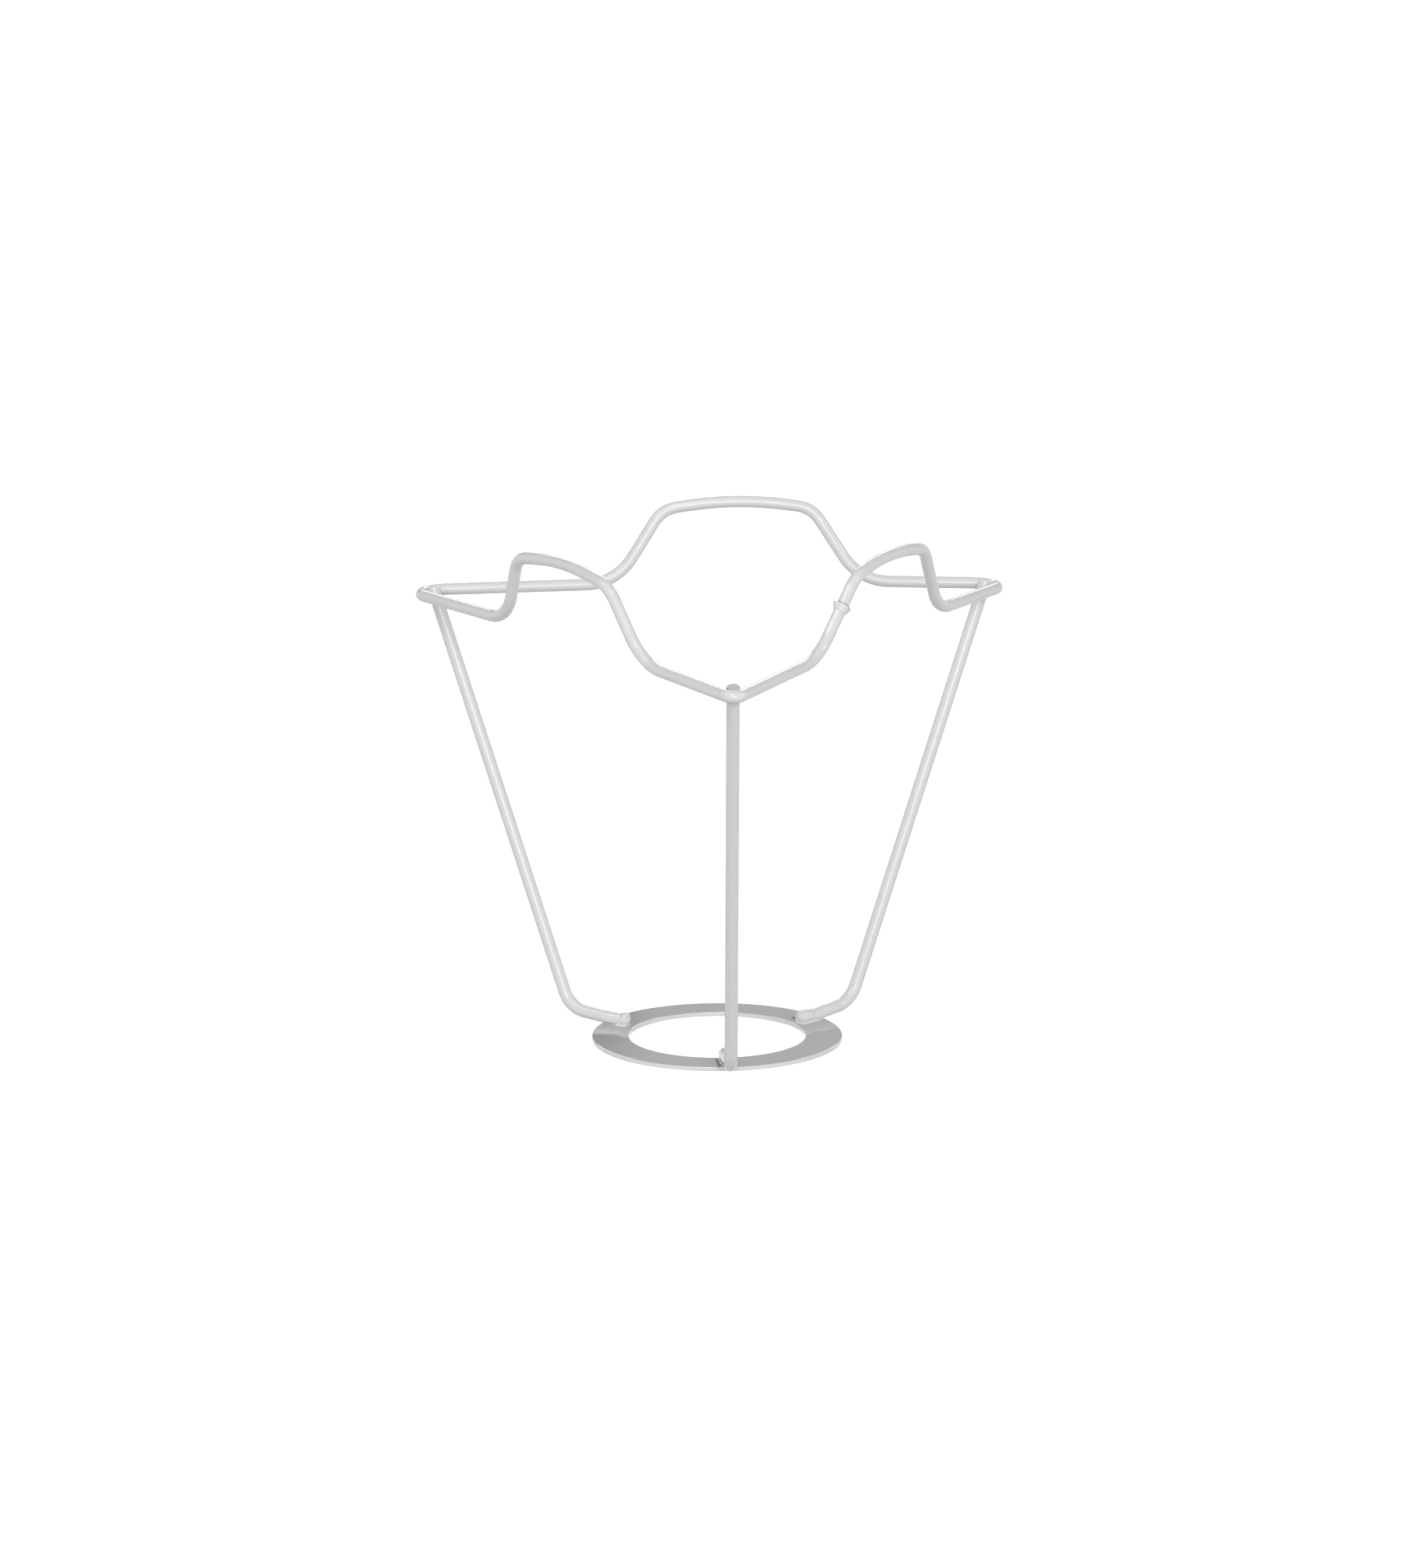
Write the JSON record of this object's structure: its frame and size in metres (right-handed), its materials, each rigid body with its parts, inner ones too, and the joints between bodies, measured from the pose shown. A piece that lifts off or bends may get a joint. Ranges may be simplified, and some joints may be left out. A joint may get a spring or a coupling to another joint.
{
  "type": "lamp shade carrier",
  "caption": "White welded wire carrier that clamps on a lampholder by a flat ring and holds a lamp shade on a wavy wire crown.",
  "frame": {"origin": "on the axis of the lampholder hole, at the underside of the gallery ring", "axes": "+Z along the hole's axis towards the crown, -Y towards the front leg and the front corner of the crown, +X to the right of it"},
  "size_m": [0.1371, 0.1268, 0.1196],
  "materials": {
    "painted_sheet": "glossy white paint on a flat steel ring",
    "painted_wire": "glossy white paint on steel wire"
  },
  "bodies": {
    "root": {"gallery_ring": "painted_sheet", "front_leg": "painted_wire", "right_leg": "painted_wire", "left_leg": "painted_wire", "crown_wire": "painted_wire"}
  },
  "joints": []
}
